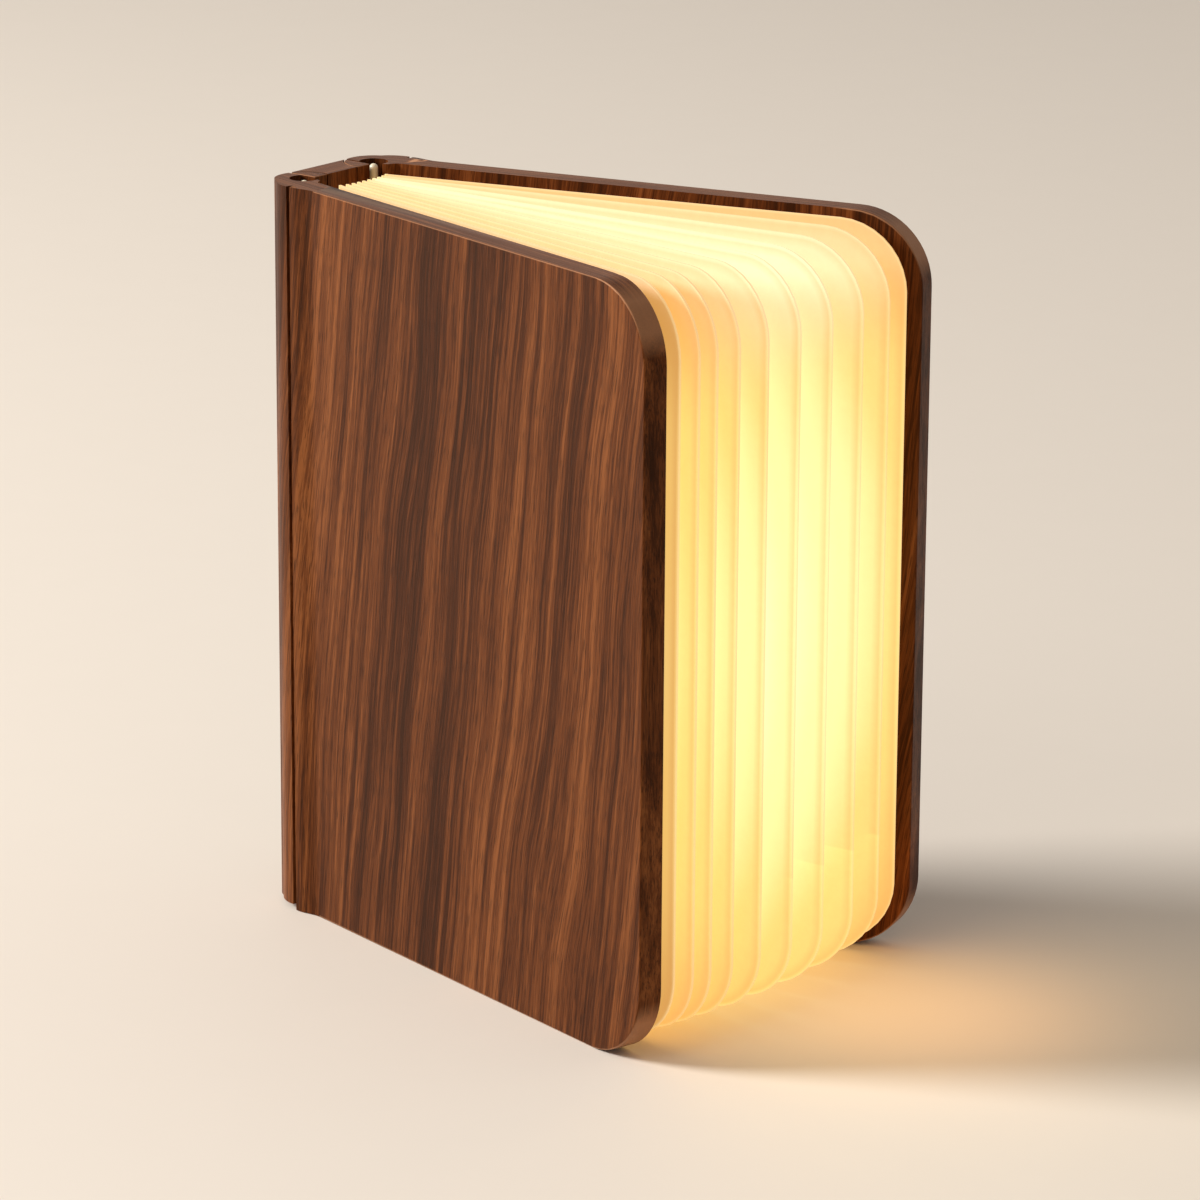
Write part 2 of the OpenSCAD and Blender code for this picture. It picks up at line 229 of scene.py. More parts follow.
def walnut(name, turn, at, seed):
    """Oiled walnut with its grain along Z: leaning figure, dark lines and short fine pores, with a painted
    highlight on the rounded rims and a painted lighter tone on the top and bottom faces.
    """
    look = finishes()
    shade = Shade(name)
    wood = shade.place(turn=turn, at=at)
    moved = shade.add("ShaderNodeVectorMath", operation="ADD")
    moved.inputs[1].default_value = [seed * step for step in BOARD_STEP]
    shade.link(wood, moved.inputs[0])
    wood = moved.outputs["Vector"]
    across, deep, up = shade.split(wood)
    # the board cuts slanting through wavy rings, so its bands lean and change their width
    slow = shade.math("SUBTRACT", shade.noise(shade.stretch(wood, SLOW_WAVE), detail=2), 0.5)
    quick = shade.math("SUBTRACT", shade.noise(shade.stretch(wood, QUICK_WAVE), detail=2), 0.5)
    aside = shade.math("SUBTRACT", across, look.figure_centre)
    aside = shade.math("MULTIPLY_ADD", slow, 16 * MM, aside)
    below = shade.math("MULTIPLY_ADD", up, look.figure_slant, 10 * MM)
    below = shade.math("MULTIPLY_ADD", slow, 22 * MM, below)
    square = shade.math("MULTIPLY_ADD", aside, aside, shade.math("MULTIPLY", below, below))
    ring = shade.math("MULTIPLY_ADD", quick, 1.2 * MM, shade.math("SQRT", square))
    joined = shade.add("ShaderNodeCombineXYZ")
    for socket, value in zip(joined.inputs, (ring, deep, up)):
        shade.link(value, socket)
    flow = joined.outputs["Vector"]
    bands = shade.noise(shade.stretch(flow, BANDS), detail=2, rough=0.5)
    lines = shade.noise(shade.stretch(flow, LINES), detail=3, rough=0.6)
    fibres = shade.noise(shade.stretch(flow, FIBRES), detail=4, rough=0.7)
    pores = shade.noise(shade.stretch(flow, PORES), detail=1, rough=0.4)
    # the top and bottom faces show the layers along the board, and their tone is painted a little lighter, as
    # painted light from above
    facing = shade.split(shade.add("ShaderNodeTexCoord").outputs["Normal"])[2]
    steep = shade.math("ABSOLUTE", facing)
    ends = shade.spread(steep, 0.6, 0.8)
    layers = shade.noise(shade.stretch(wood, END_LAYERS), detail=3, rough=0.6)
    tone = shade.math("MULTIPLY_ADD", lines, 0.34, shade.math("MULTIPLY", bands, 0.34))
    tone = shade.math("MULTIPLY_ADD", fibres, 0.32, tone)
    # painted light: the layers' tone sits a little above the sides' own tone, so the top and bottom faces come out
    # lighter
    layers = shade.math("MULTIPLY_ADD", layers, 0.4, 0.34)
    tone = shade.blend(ends, tone, layers)
    colour = shade.ramp(
        tone,
        (0.40, tint(look.walnut_dark, 0.55)),
        (0.46, look.walnut_dark),
        (0.52, look.walnut_mid),
        (0.61, look.walnut_light),
    )
    pit = shade.spread(pores, 0.34, 0.44, 1, 0)
    colour = shade.mix(shade.math("MULTIPLY", pit, 0.6), colour, tint(look.walnut_dark, 0.4))
    # painted highlight: the rounded rims between the sides and the tops are painted pale, where they catch the
    # light from above
    rim = shade.math("MULTIPLY", shade.spread(steep, 0.15, 0.45), shade.spread(steep, 0.96, 0.80))
    colour = shade.mix(shade.math("MULTIPLY", rim, 0.7), colour, look.walnut_rim_highlight)
    shade.set(
        Base_Color=colour,
        Roughness=shade.spread(tone, 0.4, 0.62, 0.48, 0.38),
        Specular_IOR_Level=0.14,
        Specular_Tint=(1.0, 0.62, 0.36, 1),
    )
    depth = shade.math("MULTIPLY_ADD", pit, -0.6, shade.math("MULTIPLY", fibres, 0.3))
    shade.bumps(depth, 0.30, 0.15 * MM)
    return shade.material


# How much each thing adds to the light in the paper
LIGHT_BY_HEIGHT = 0.52
LIGHT_BY_PLACE_IN_FAN = 0.20
LIGHT_BY_DEPTH = 0.30
LIGHT_BY_CLOUDS = 0.12
# Angles from straight back where the fan's light ends and where it is full
FAN_DIM, FAN_BRIGHT = math.radians(17), math.radians(3)
# Heights where daylight begins to pale the pages' tops, and where it has
TOP_LIT_FROM, TOP_LIT_TO = 172 * MM, 212 * MM


def page_paper():
    """Glowing paper: palest where the light is near, deeper towards the edges and the covers."""
    look, size = finishes(), sizes()
    shade = Shade("glowing_paper")
    along, up, _ = shade.split(shade.add("ShaderNodeUVMap", uv_map="page").outputs["UV"])
    x, y, z = shade.split(shade.place())
    # light by height, by distance from the spine, and by the page's place in the fan
    middle = shade.math("DIVIDE", shade.math("SUBTRACT", z, size.glow_height), size.glow_spread)
    height = shade.math("SUBTRACT", 1, shade.math("MULTIPLY", middle, middle))
    near = shade.spread(along, size.page_reach, size.page_reach - size.glow_depth)
    aside = shade.math("ABSOLUTE", shade.math("SUBTRACT", x, size.glow_centre))
    fan = shade.math("ARCTAN2", aside, shade.math("MULTIPLY", y, -1))
    central = shade.spread(fan, FAN_DIM, FAN_BRIGHT)
    cloud = shade.noise(shade.place(scale=(22, 22, 9)), detail=2)
    cloud = shade.math("SUBTRACT", cloud, 0.5)
    light = shade.math("MULTIPLY", central, LIGHT_BY_PLACE_IN_FAN)
    light = shade.math("MULTIPLY_ADD", height, LIGHT_BY_HEIGHT, light)
    light = shade.math("MULTIPLY_ADD", near, LIGHT_BY_DEPTH, light)
    light = shade.math("MULTIPLY_ADD", cloud, LIGHT_BY_CLOUDS, light)
    glow = shade.ramp(
        light,
        (0.12, look.paper_edge_glow),
        (0.50, look.paper_glow),
        (0.74, look.paper_near_glow),
        (0.96, look.paper_heart_glow),
    )
    # daylight reaches the top edges and pales them
    pale = shade.mix(central, look.paper_edge_glow, look.paper_top_glow)
    daylight = shade.spread(up, TOP_LIT_FROM, TOP_LIT_TO, smooth=True)
    glow = shade.mix(daylight, glow, pale)
    # the pressed seam round the page's border, from its distance to a rounded outline
    over = shade.math("SUBTRACT", along, size.page_reach - size.page_corner)
    over = shade.math("MAXIMUM", over, 0)
    rise = shade.math("ABSOLUTE", shade.math("SUBTRACT", up, size.page_middle))
    rise = shade.math("SUBTRACT", rise, size.page_half - size.page_corner)
    rise = shade.math("MAXIMUM", rise, 0)
    square = shade.math("MULTIPLY_ADD", over, over, shade.math("MULTIPLY", rise, rise))
    edge = shade.math("SUBTRACT", size.page_corner, shade.math("SQRT", square))
    seam = shade.spread(edge, 0.3 * MM, 0.6 * MM, 1, 0)
    outer = shade.spread(edge, 0.6 * MM, 1.2 * MM)
    inner = shade.spread(edge, 3.4 * MM, 1.2 * MM)
    shadow = shade.math("MULTIPLY", outer, inner)
    glow = shade.mix(shade.math("MULTIPLY", shadow, 0.45), glow, look.paper_edge_glow)
    glow = shade.mix(shade.math("MULTIPLY", seam, 0.3), glow, look.paper_seam_glow)
    fibre = shade.noise(shade.place(scale=(320, 320, 320)), detail=4, rough=0.7)
    cast = shade.mix(shade.spread(fibre, 0.3, 0.7), look.paper, tint(look.paper, 0.9))
    shade.set(
        Base_Color=cast,
        Roughness=0.75,
        Specular_IOR_Level=0.2,
        Emission_Color=glow,
        Emission_Strength=look.paper_strength,
    )
    shade.bumps(fibre, 0.25, 0.2 * MM)
    return shade.material


def brass():
    """Brushed brass with a soft shine."""
    shade = Shade("satin_brass")
    brushed = shade.noise(shade.place(scale=(900, 900, 60)), detail=3)
    shade.set(
        Base_Color=shade.mix(brushed, finishes().brass, tint(finishes().brass, 0.8)),
        Metallic=1.0,
        Roughness=shade.spread(brushed, 0.3, 0.7, 0.28, 0.42),
    )
    shade.bumps(brushed, 0.15, 0.1 * MM)
    return shade.material


def metal(name, colour, least_rough, most_rough):
    """Plain brushed metal."""
    shade = Shade(name)
    brushed = shade.noise(shade.place(scale=(700, 700, 90)), detail=3)
    shade.set(
        Base_Color=shade.mix(brushed, colour, tint(colour, 0.85)),
        Metallic=1.0,
        Roughness=shade.spread(brushed, 0.3, 0.7, least_rough, most_rough),
    )
    return shade.material


def moulded(name, colour, rough, glow=0.0):
    """Fine moulded or painted surface; glow is for parts that pass or give light."""
    shade = Shade(name)
    grain = shade.noise(shade.place(scale=(1200, 1200, 1200)), detail=2)
    shade.set(
        Base_Color=shade.mix(grain, colour, tint(colour, 0.92)),
        Roughness=shade.spread(grain, 0.3, 0.7, rough - 0.05, rough + 0.08),
    )
    if glow:
        shade.set(Emission_Color=(*finishes().paper_heart_glow[:3], 1), Emission_Strength=glow)
    shade.bumps(grain, 0.12, 0.1 * MM)
    return shade.material


def circuit(name, colour):
    """Printed board: solder mask with faint tracks under it."""
    shade = Shade(name)
    tracks = shade.add("ShaderNodeTexBrick", offset=0.5)
    shade.link(shade.place(scale=(600, 600, 600)), tracks.inputs["Vector"])
    tracks.inputs["Color1"].default_value = (*colour[:3], 1)
    tracks.inputs["Color2"].default_value = (*tint(colour, 0.9), 1)
    tracks.inputs["Mortar"].default_value = (*tint(colour, 1.15), 1)
    tracks.inputs["Mortar Size"].default_value = 0.04
    shade.set(Base_Color=tracks.outputs["Color"], Roughness=0.4)
    return shade.material


def paint(node, material):
    """Gives a node that stays as it is its finish."""
    mesh = NODES[node].data
    mesh.materials.clear()
    mesh.materials.append(material)


# Pieces


def piece(name, shape, body, material, node):
    """An object of a finished shape, which rides a body and stands in for a node."""
    mesh = bpy.data.meshes.new(name)
    shape.to_mesh(mesh)
    shape.free()
    thing = bpy.data.objects.new(name, mesh)
    bpy.context.scene.collection.objects.link(thing)
    mesh.materials.append(material)
    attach(thing, body)
    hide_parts(node)
    return thing


def soften(node, name, material, width, hinge=None):
    """A copy of a node with its sharp edges rounded over, but for those close to its hinge."""
    size = sizes()
    shape = bmesh.new()
    shape.from_mesh(NODES[node].data)
    bmesh.ops.remove_doubles(shape, verts=shape.verts, dist=MERGE)
    bmesh.ops.dissolve_limit(
        shape, angle_limit=math.radians(0.6), verts=shape.verts, edges=shape.edges
    )
    rims = [
        e
        for e in shape.edges
        if len(e.link_faces) == 2 and e.calc_face_angle(0) > math.radians(SHARP)
    ]
    if hinge:
        rims = [
            e
            for e in rims
            if e.calc_length() > size.least_rim
            and all((v.co - hinge).xy.length > size.hinge_clear for v in e.verts)
        ]
    bmesh.ops.bevel(
        shape,
        geom=rims,
        offset=width,
        offset_type="OFFSET",
        affect="EDGES",
        segments=3,
        profile=0.5,
        material=-1,
        clamp_overlap=hinge is None,
    )
    # no corner of a rounding may stand out past the solid
    low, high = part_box(node)
    for v in shape.verts:
        v.co = [min(max(c, a), b) for c, a, b in zip(v.co, low, high)]
    bmesh.ops.triangulate(shape, faces=[f for f in shape.faces if len(f.verts) > 4])
    shade_smooth(piece(name, shape, BODY_OF[node], material, node), SHARP)


def shade_smooth(thing, sharp):
    """Smooth shading in which the larger faces stay flat and the roundings bend."""
    mesh = thing.data
    for face in mesh.polygons:
        face.use_smooth = True
    around = [[] for _ in mesh.vertices]
    for face in mesh.polygons:
        for corner in face.vertices:
            around[corner].append(face)
    least = math.cos(math.radians(sharp))
    normals = []
    for face in mesh.polygons:
        for corner in face.vertices:
            near = (f for f in around[corner] if f.normal.dot(face.normal) > least)
            total = Vector((0, 0, 0))
            for f in near:
                total += f.normal * f.area
            normals.append(total.normalized())
    mesh.normals_split_custom_set(normals)


def page_turn(node):
    """Angle of a page at rest from straight back, measured on its solid."""
    root = HINGES[BODY_OF[node]]
    spots = [(v.co - root).xy for v in NODES[node].data.vertices]
    reach = max(p.length for p in spots)
    turns = [math.atan2(p.x, -p.y) for p in spots if p.length > 0.95 * reach]
    return (min(turns) + max(turns)) / 2


def page_rows(low, high, notches):
    """Heights of the rows of a page's net: close together in the corners, and on each notch."""
    corner = sizes().page_corner
    in_corner, between = 9, 14
    turns = [math.pi / 2 * i / in_corner for i in range(in_corner + 1)]
    rows = [low + corner * (1 - math.cos(t)) for t in turns]
    rows += [high - corner * (1 - math.cos(t)) for t in turns]
    rows += [z for pair in notches for z in pair]
    straight = high - low - 2 * corner
    rows += [low + corner + straight * i / between for i in range(1, between)]
    return sorted(rows)


def page_columns():
    """Distances of the columns of a page's net from its rod: two in the notches, then even."""
    notch = sizes().notch_reach
    in_notch, beyond = 2, 22
    columns = [notch * i / in_notch for i in range(in_notch + 1)]
    left = sizes().page_reach - notch
    return columns + [notch + left * i / beyond for i in range(1, beyond + 1)]


def page_sheet(node, name, number, material):
    """One sheet with rounded fore-edge corners, notched for the combs, on its rod."""
    size = sizes()
    root = HINGES[BODY_OF[node]]
    low, high = (v.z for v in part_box(node))
    notches = []
    for comb in COMBS:
        a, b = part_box(comb)
        notches.append((a.z - size.notch_play, b.z + size.notch_play))
    rows, columns = page_rows(low, high, notches), page_columns()
    inward = 1 if page_turn(node) < 0 else -1
    shape = bmesh.new()
    uv = shape.loops.layers.uv.new("page")
    bmesh.ops.create_grid(
        shape, x_segments=len(columns) - 1, y_segments=len(rows) - 1, size=0.5
    )
    for v in shape.verts:
        along = columns[round((v.co.x + 0.5) * (len(columns) - 1))]
        height = rows[round((v.co.y + 0.5) * (len(rows) - 1))]
        # the corners pull the columns beyond the notches back onto an arc
        inset = size.page_corner - min(height - low, high - height, size.page_corner)
        back = size.page_corner - math.sqrt(max(0, size.page_corner**2 - inset**2))
        reach = size.page_reach - back
        if along > size.notch_reach:
            share = (along - size.notch_reach) / (size.page_reach - size.notch_reach)
            along = size.notch_reach + (reach - size.notch_reach) * share
        # the sheet bows towards the fan's middle, each page a little differently up its height
        bow = math.sin(math.pi * along / size.page_reach)
        sway = 0.6 + 0.4 * math.sin(2 * math.pi * (height - low) / (high - low) + 1.9 * number)
        v.co = Vector((inward * size.page_bow * bow * sway, -along, height))
    gone = []
    for f in shape.faces:
        c = f.calc_center_median()
        if -c.y < size.notch_reach and any(a < c.z < b for a, b in notches):
            gone.append(f)
    bmesh.ops.delete(shape, geom=gone, context="FACES")
    for f in shape.faces:
        for corner in f.loops:
            corner[uv].uv = (-corner.vert.co.y, corner.vert.co.z)
    bmesh.ops.solidify(shape, geom=shape.faces[:], thickness=size.page_thickness)
    bmesh.ops.translate(shape, verts=shape.verts, vec=(-size.page_thickness / 2, 0, 0))
    bmesh.ops.create_cone(
        shape,
        cap_ends=True,
        segments=20,
        radius1=size.rod_radius,
        radius2=size.rod_radius,
        depth=high - low,
        matrix=Matrix.Translation((0, 0, (low + high) / 2)),
    )
    bmesh.ops.recalc_face_normals(shape, faces=shape.faces[:])
    place = Matrix.Translation((root.x, root.y, 0)) @ Matrix.Rotation(page_turn(node), 4, "Z")
    bmesh.ops.transform(shape, matrix=place, verts=shape.verts)
    thing = piece(name, shape, BODY_OF[node], material, node)
    shade_smooth(thing, 40.0)


# Settings


class BookLampSizes(bpy.types.PropertyGroup):
    """Sizes of the pieces that are made here."""

    edge_round: FloatProperty(
        name="Board edge", description="Rounding of the boards' edges",
        default=0.5 * MM, unit="LENGTH")
    hinge_clear: FloatProperty(
        name="Hinge clear", description="Edges nearer a hinge than this stay sharp",
        default=18 * MM, unit="LENGTH")
    least_rim: FloatProperty(
        name="Least rim", description="Shorter edges, as round a small pocket, stay sharp",
        default=0.7 * MM, unit="LENGTH")
    page_reach: FloatProperty(
        name="Page reach", description="From the rod to the fore-edge",
        default=158 * MM, unit="LENGTH")
    page_corner: FloatProperty(
        name="Page corner", description="Radius of a page's fore-edge corners",
        default=20 * MM, unit="LENGTH")
    page_middle: FloatProperty(
        name="Page middle", description="Height of a page's middle",
        default=107.5 * MM, unit="LENGTH")
    page_half: FloatProperty(
        name="Half page", description="Half the height of a page",
        default=105.8 * MM, unit="LENGTH")
    page_thickness: FloatProperty(
        name="Page thickness", description="Thickness of a page's folded sheet",
        default=0.6 * MM, unit="LENGTH")
    page_bow: FloatProperty(
        name="Page bow", description="Sideways bow at the middle of a page",
        default=0.35 * MM, unit="LENGTH")
    rod_radius: FloatProperty(
        name="Rod radius", description="Radius of a page's rod",
        default=0.5 * MM, unit="LENGTH")
    notch_reach: FloatProperty(
        name="Notch reach", description="Depth of a page's notch round a comb",
        default=5 * MM, unit="LENGTH")
    notch_play: FloatProperty(
        name="Notch play", description="Gap over and under a comb",
        default=0.5 * MM, unit="LENGTH")
    glow_depth: FloatProperty(
        name="Glow depth", description="How far in from the fore-edge the glow grows",
        default=26 * MM, unit="LENGTH")
    glow_centre: FloatProperty(
        name="Glow centre", description="Where the brightest pages stand, across the fan",
        default=4 * MM, unit="LENGTH")
    glow_height: FloatProperty(
        name="Glow height", description="Height where the pages are brightest",
        default=112 * MM, unit="LENGTH")
    glow_spread: FloatProperty(
        name="Glow spread", description="How far up and down the glow reaches",
        default=122 * MM, unit="LENGTH")
    floor_radius: FloatProperty(
        name="Floor", description="Radius of the floor",
        default=9.0, unit="LENGTH")


class BookLampFinishes(bpy.types.PropertyGroup):
    """Colours of the finishes."""

    walnut_light: FloatVectorProperty(
        name="Walnut, light", description="Lightest wood", subtype="COLOR",
        default=(0.195, 0.061, 0.0165))
    walnut_mid: FloatVectorProperty(
        name="Walnut, middle", description="Most of the wood", subtype="COLOR",
        default=(0.100, 0.0265, 0.0062))
    walnut_dark: FloatVectorProperty(
        name="Walnut, dark", description="Dark lines of the figure", subtype="COLOR",
        default=(0.046, 0.011, 0.0025))
    # painted highlight: the pale colour painted on the rounded rims, where they catch the light from above
    walnut_rim_highlight: FloatVectorProperty(
        name="Walnut, rim", description="Rubbed wood on the rims", subtype="COLOR",
        default=(0.42, 0.20, 0.10))
    figure_slant: FloatProperty(
        name="Figure slant", description="How steeply the boards cut through the rings",
        default=0.28)
    figure_centre: FloatProperty(
        name="Figure centre",
        description="Where the log's heart lies across a board, before the board's own step",
        default=62 * MM, unit="LENGTH")
    paper: FloatVectorProperty(
        name="Paper", description="The paper by daylight", subtype="COLOR",
        default=(0.42, 0.35, 0.25))
    paper_heart_glow: FloatVectorProperty(
        name="Glow, heart", description="Lit paper near the light", subtype="COLOR",
        default=(1.0, 0.97, 0.60))
    paper_near_glow: FloatVectorProperty(
        name="Glow, near", description="Lit paper about the light", subtype="COLOR",
        default=(1.0, 0.84, 0.36))
    paper_glow: FloatVectorProperty(
        name="Glow", description="Most of the lit paper", subtype="COLOR",
        default=(0.96, 0.58, 0.155))
    paper_edge_glow: FloatVectorProperty(
        name="Glow, edge", description="Lit paper far from the light", subtype="COLOR",
        default=(0.72, 0.34, 0.075))
    paper_top_glow: FloatVectorProperty(
        name="Glow, top", description="Top edges of the paper", subtype="COLOR",
        default=(0.93, 0.70, 0.40))
    paper_seam_glow: FloatVectorProperty(
        name="Glow, seam", description="Pressed border of the paper", subtype="COLOR",
        default=(0.98, 0.74, 0.34))
    paper_strength: FloatProperty(
        name="Paper strength", description="Strength of the pages' glow",
        default=0.88, min=0)
    brass: FloatVectorProperty(
        name="Brass", description="Hinge brass", subtype="COLOR",
        default=(0.72, 0.50, 0.22))
    ivory: FloatVectorProperty(
        name="Ivory", description="Hinge pins and combs", subtype="COLOR",
        default=(0.80, 0.70, 0.52))
    steel: FloatVectorProperty(
        name="Steel", description="Screws and magnets", subtype="COLOR",
        default=(0.62, 0.62, 0.64))
    aluminium: FloatVectorProperty(
        name="Aluminium", description="Light tray and socket shell", subtype="COLOR",
        default=(0.72, 0.72, 0.73))
    frosted: FloatVectorProperty(
        name="Frosted cover", description="Diffusers over the light chips", subtype="COLOR",
        default=(0.85, 0.80, 0.70))
    frosted_strength: FloatProperty(
        name="Diffuser strength", description="Strength of the diffusers' glow",
        default=5.0, min=0)
    chip: FloatVectorProperty(
        name="Light chips", description="Phosphor of the light chips", subtype="COLOR",
        default=(0.90, 0.70, 0.25))
    chip_strength: FloatProperty(
        name="Chip strength", description="Strength of the light chips' glow",
        default=3.0, min=0)
    strip_board: FloatVectorProperty(
        name="Strip board", description="White board under the light chips", subtype="COLOR",
        default=(0.82, 0.82, 0.78))
    green_board: FloatVectorProperty(
        name="Control board", description="Green solder mask", subtype="COLOR",
        default=(0.05, 0.20, 0.11))
    black: FloatVectorProperty(
        name="Black plastic", description="Socket tongue and sensor", subtype="COLOR",
        default=(0.02, 0.02, 0.02))
    cell_wrap: FloatVectorProperty(
        name="Cell wrap", description="Sleeve round the cells", subtype="COLOR",
        default=(0.06, 0.17, 0.38))
    floor: FloatVectorProperty(
        name="Floor", description="The floor's colour", subtype="COLOR",
        default=(0.80, 0.73, 0.65))


# Operators


class BOOKLAMP_OT_boards(bpy.types.Operator):
    """Make the walnut covers, spine board, inserts and plugs"""

    bl_idname = "booklamp.boards"
    bl_label = "Walnut boards"

    def execute(self, context):
        size = sizes()
        lean = 0.25  # radians that each cover's outer face stands off the middle
        for side, sign, seed in (("front", -1, 3), ("back", 1, 8)):
            hinge = HINGES[f"{side}_leaf"]
            wood = walnut(f"walnut_{side}", math.pi / 2 + sign * lean, hinge, seed)
            soften(f"{side}_cover", f"{side}_board", wood, size.edge_round, hinge)
            soften(f"{side}_barrel_inserts", f"{side}_barrel", wood, size.edge_round / 2)
            paint(f"{side}_magnet_plugs", wood)
        wood = walnut("walnut_spine", 0, (0, 0, 0), 5)
        soften("spine_board", "spine", wood, size.edge_round / 2)
        return {"FINISHED"}


class BOOKLAMP_OT_pages(bpy.types.Operator):
    """Make the glowing paper pages"""

    bl_idname = "booklamp.pages"
    bl_label = "Paper pages"

    def execute(self, context):
        paper = page_paper()
        count = sum(1 for body in HINGES if body.startswith("page_"))
        for number in range(1, count + 1):
            page_sheet(f"page_{number}", f"page_sheet_{number}", number, paper)
        return {"FINISHED"}


class BOOKLAMP_OT_hinges(bpy.types.Operator):
    """Finish the knuckles, bushes, pins, screws and magnets"""

    bl_idname = "booklamp.hinges"
    bl_label = "Hinges"

    def execute(self, context):
        look = finishes()
        yellow = brass()
        steel = metal("satin_steel", look.steel, 0.25, 0.4)
        ivory = moulded("ivory_paint", look.ivory, 0.35)
        for side in ("front", "back"):
            for place in ("low", "mid", "top"):
                paint(f"{side}_knuckle_{place}", yellow)
            paint(f"{side}_bushes", yellow)
            paint(f"{side}_hinge_pin", ivory)
            paint(f"{side}_magnets", steel)
        for node in ("knuckle_screws", "tray_screws", "sensor_magnet"):
            paint(node, steel)
        return {"FINISHED"}


class BOOKLAMP_OT_light(bpy.types.Operator):
    """Finish the light tray, chips, diffusers, combs, boards and cells"""

    bl_idname = "booklamp.light"
    bl_label = "Light and cells"

    def execute(self, context):
        look = finishes()
        aluminium = metal("tray_aluminium", look.aluminium, 0.3, 0.45)
        ivory = moulded("comb_ivory", look.ivory, 0.5)
        frosted = moulded("frosted_diffuser", look.frosted, 0.5, look.frosted_strength)
        black = moulded("black_plastic", look.black, 0.4)
        wrap = moulded("cell_wrap", look.cell_wrap, 0.3)
        paint("led_strip", circuit("strip_board", look.strip_board))
        paint("control_board", circuit("control_board", look.green_board))
        paint("led_chips", moulded("light_chip", look.chip, 0.3, look.chip_strength))
        for material, nodes in (
            (aluminium, ("light_tray", "charging_socket")),
            (frosted, ("diffuser_lower", "diffuser_upper")),
            (ivory, COMBS),
            (black, ("socket_tongue", "hall_sensor")),
            (wrap, ("battery_lower", "battery_upper")),
        ):
            for node in nodes:
                paint(node, material)
        return {"FINISHED"}


# The camera's place in metres, its yaw, pitch and roll in degrees, and its lens in mm
CAMERA_AT = (-1.1778, -1.0385, 0.5463)
CAMERA_TURN = (51.43, -16.32, 0.34)
CAMERA_LENS = 168.1

# Each lamp's name, place, aim, width in metres, watts, colour, and whether it may be seen
LAMPS = (
    ("key", (-1.6, 2.1, 1.6), (0, -0.05, 0.1), 1.0, 130, (1.0, 0.97, 0.93), True),
    ("near", (-0.75, -0.10, 0.80), (-0.15, -0.12, 0.05), 0.4, 1.0, (1.0, 0.96, 0.91), True),
    # the glow that the folded paper throws down in front of the pages
    ("spill", (0.02, -0.20, 0.04), (0.02, -0.20, 0), 0.08, 0.015, (1.0, 0.48, 0.15), False),
)

# Colour and strength of the world: the soft light it gives, and the backdrop that is seen
WORLD_LIGHT = (1.0, 0.95, 0.89, 1), 0.36
WORLD_SEEN = (0.80, 0.71, 0.62, 1), 1.0


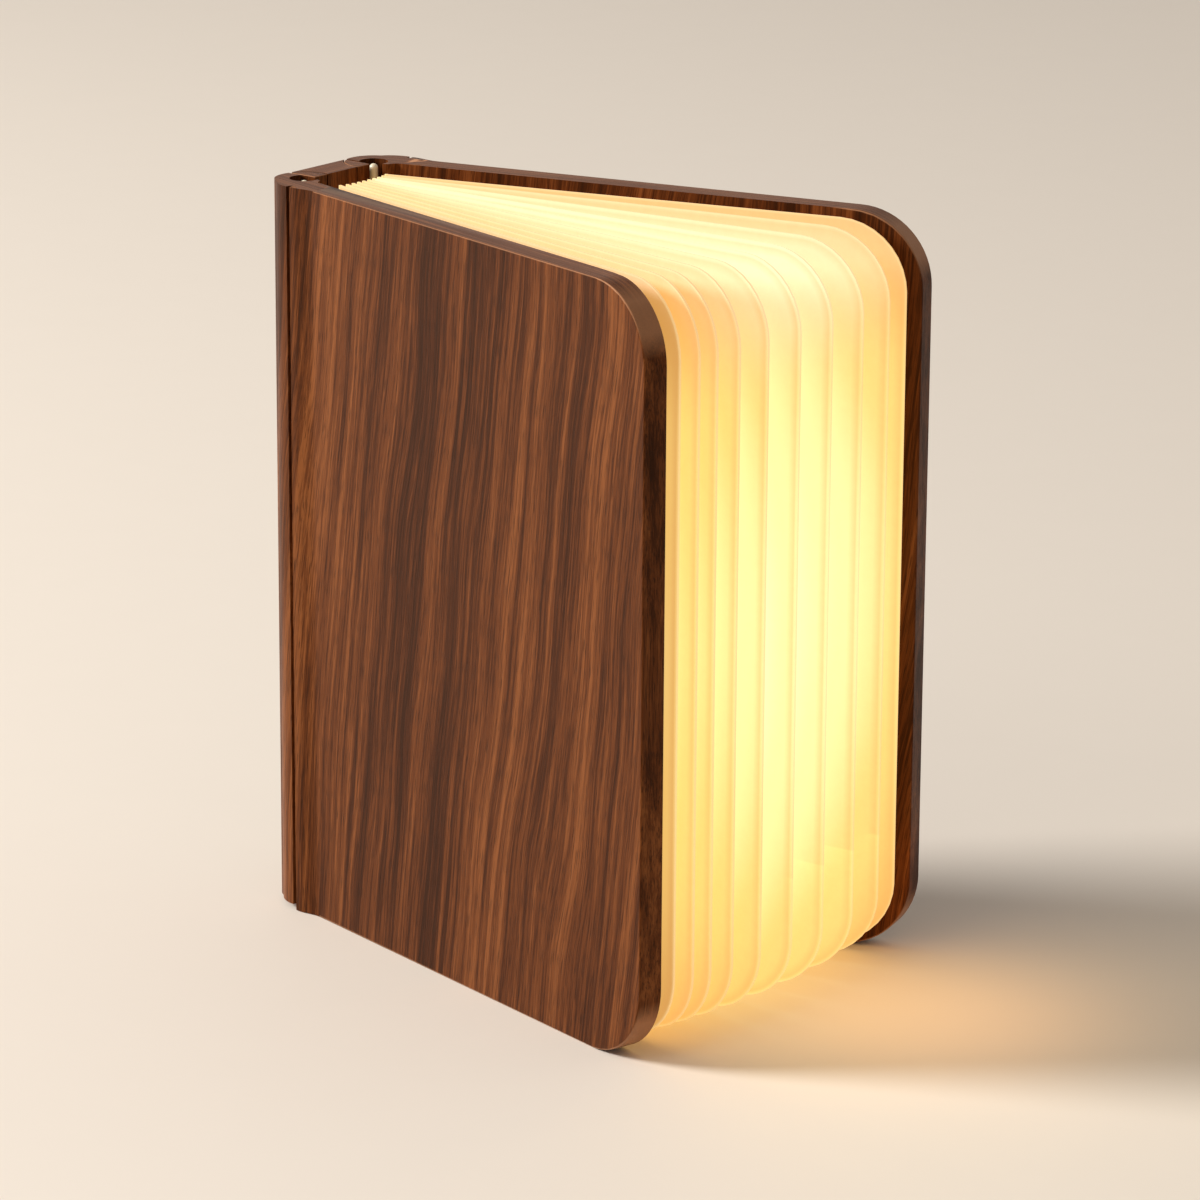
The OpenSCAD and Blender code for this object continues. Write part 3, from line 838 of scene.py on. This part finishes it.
class BOOKLAMP_OT_stage(bpy.types.Operator):
    """Set the floor, the studio light and the camera"""

    bl_idname = "booklamp.stage"
    bl_label = "Stage"

    def execute(self, context):
        self.camera(context)
        self.floor(context)
        for lamp in LAMPS:
            self.lamp(context, *lamp)
        self.world(context)
        context.scene.view_settings.view_transform = "Standard"
        return {"FINISHED"}

    def camera(self, context):
        yaw, pitch, roll = (math.radians(a) for a in CAMERA_TURN)
        level = Vector((math.sin(yaw), math.cos(yaw), 0))
        ahead = math.cos(pitch) * level + Vector((0, 0, math.sin(pitch)))
        side = Vector((math.cos(yaw), -math.sin(yaw), 0))
        top = side.cross(ahead)
        right = math.cos(roll) * side + math.sin(roll) * top
        up = -math.sin(roll) * side + math.cos(roll) * top
        data = bpy.data.cameras.new("camera")
        data.sensor_width, data.lens = 36, CAMERA_LENS
        data.clip_end = 50
        eye = bpy.data.objects.new("camera", data)
        turned = Matrix((right, up, -ahead)).transposed().to_4x4()
        eye.matrix_world = Matrix.Translation(CAMERA_AT) @ turned
        context.scene.collection.objects.link(eye)
        context.scene.camera = eye

    def floor(self, context):
        shape = bmesh.new()
        radius, drop = sizes().floor_radius, 0.2 * MM
        bmesh.ops.create_circle(shape, cap_ends=True, segments=96, radius=radius)
        bmesh.ops.translate(shape, verts=shape.verts, vec=(0, 0, -drop))
        mesh = bpy.data.meshes.new("floor")
        shape.to_mesh(mesh)
        shape.free()
        ground = bpy.data.objects.new("floor", mesh)
        context.scene.collection.objects.link(ground)
        shade = Shade("floor_paint")
        speck = shade.noise(shade.place(scale=(40, 40, 40)), detail=3)
        colour = finishes().floor[:3]
        shade.set(
            Base_Color=shade.mix(speck, colour, tint(colour, 0.985)),
            Roughness=0.65,
            Specular_IOR_Level=0.15,
        )
        mesh.materials.append(shade.material)

    def lamp(self, context, name, at, towards, width, power, colour, seen):
        data = bpy.data.lights.new(name, "AREA")
        data.shape, data.size, data.energy, data.color = "DISK", width, power, colour
        thing = bpy.data.objects.new(name, data)
        thing.location = at
        thing.visible_camera = seen
        aim = Vector(towards) - Vector(at)
        thing.rotation_euler = aim.to_track_quat("-Z", "Y").to_euler()
        context.scene.collection.objects.link(thing)

    def world(self, context):
        world = bpy.data.worlds.new("studio")
        context.scene.world = world
        world.use_nodes = True
        tree = world.node_tree
        tree.nodes.clear()
        out = tree.nodes.new("ShaderNodeOutputWorld")
        rays = tree.nodes.new("ShaderNodeLightPath")
        mixed = tree.nodes.new("ShaderNodeMixShader")
        for socket, (colour, strength) in ((1, WORLD_LIGHT), (2, WORLD_SEEN)):
            side = tree.nodes.new("ShaderNodeBackground")
            side.inputs["Color"].default_value = colour
            side.inputs["Strength"].default_value = strength
            tree.links.new(side.outputs["Background"], mixed.inputs[socket])
        # the backdrop is seen directly, in metal and through glass
        seen = rays.outputs["Is Camera Ray"]
        for kind in ("Is Glossy Ray", "Is Transmission Ray"):
            either = tree.nodes.new("ShaderNodeMath")
            either.operation = "MAXIMUM"
            tree.links.new(seen, either.inputs[0])
            tree.links.new(rays.outputs[kind], either.inputs[1])
            seen = either.outputs["Value"]
        tree.links.new(seen, mixed.inputs["Fac"])
        tree.links.new(mixed.outputs["Shader"], out.inputs["Surface"])


STEPS = (
    BOOKLAMP_OT_stage,
    BOOKLAMP_OT_boards,
    BOOKLAMP_OT_pages,
    BOOKLAMP_OT_hinges,
    BOOKLAMP_OT_light,
)


class BOOKLAMP_PT_panel(bpy.types.Panel):
    """Lists the lamp's pieces and their settings"""

    bl_idname = "BOOKLAMP_PT_panel"
    bl_label = "Book Lamp"
    bl_space_type = "VIEW_3D"
    bl_region_type = "UI"
    bl_category = "Book Lamp"

    def draw(self, context):
        for step in STEPS:
            self.layout.operator(step.bl_idname)
        for group in (sizes(), finishes()):
            box = self.layout.box()
            for key in group.__annotations__:
                box.prop(group, key)


CLASSES = (BookLampSizes, BookLampFinishes, *STEPS, BOOKLAMP_PT_panel)


def register():
    for part in CLASSES:
        bpy.utils.register_class(part)
    bpy.types.Scene.book_lamp_sizes = PointerProperty(type=BookLampSizes)
    bpy.types.Scene.book_lamp_finishes = PointerProperty(type=BookLampFinishes)


def unregister():
    del bpy.types.Scene.book_lamp_finishes
    del bpy.types.Scene.book_lamp_sizes
    for part in reversed(CLASSES):
        bpy.utils.unregister_class(part)


def main():
    register()
    bpy.ops.booklamp.stage()
    bpy.ops.booklamp.boards()
    bpy.ops.booklamp.pages()
    bpy.ops.booklamp.hinges()
    bpy.ops.booklamp.light()


if __name__ == "__main__":
    main()
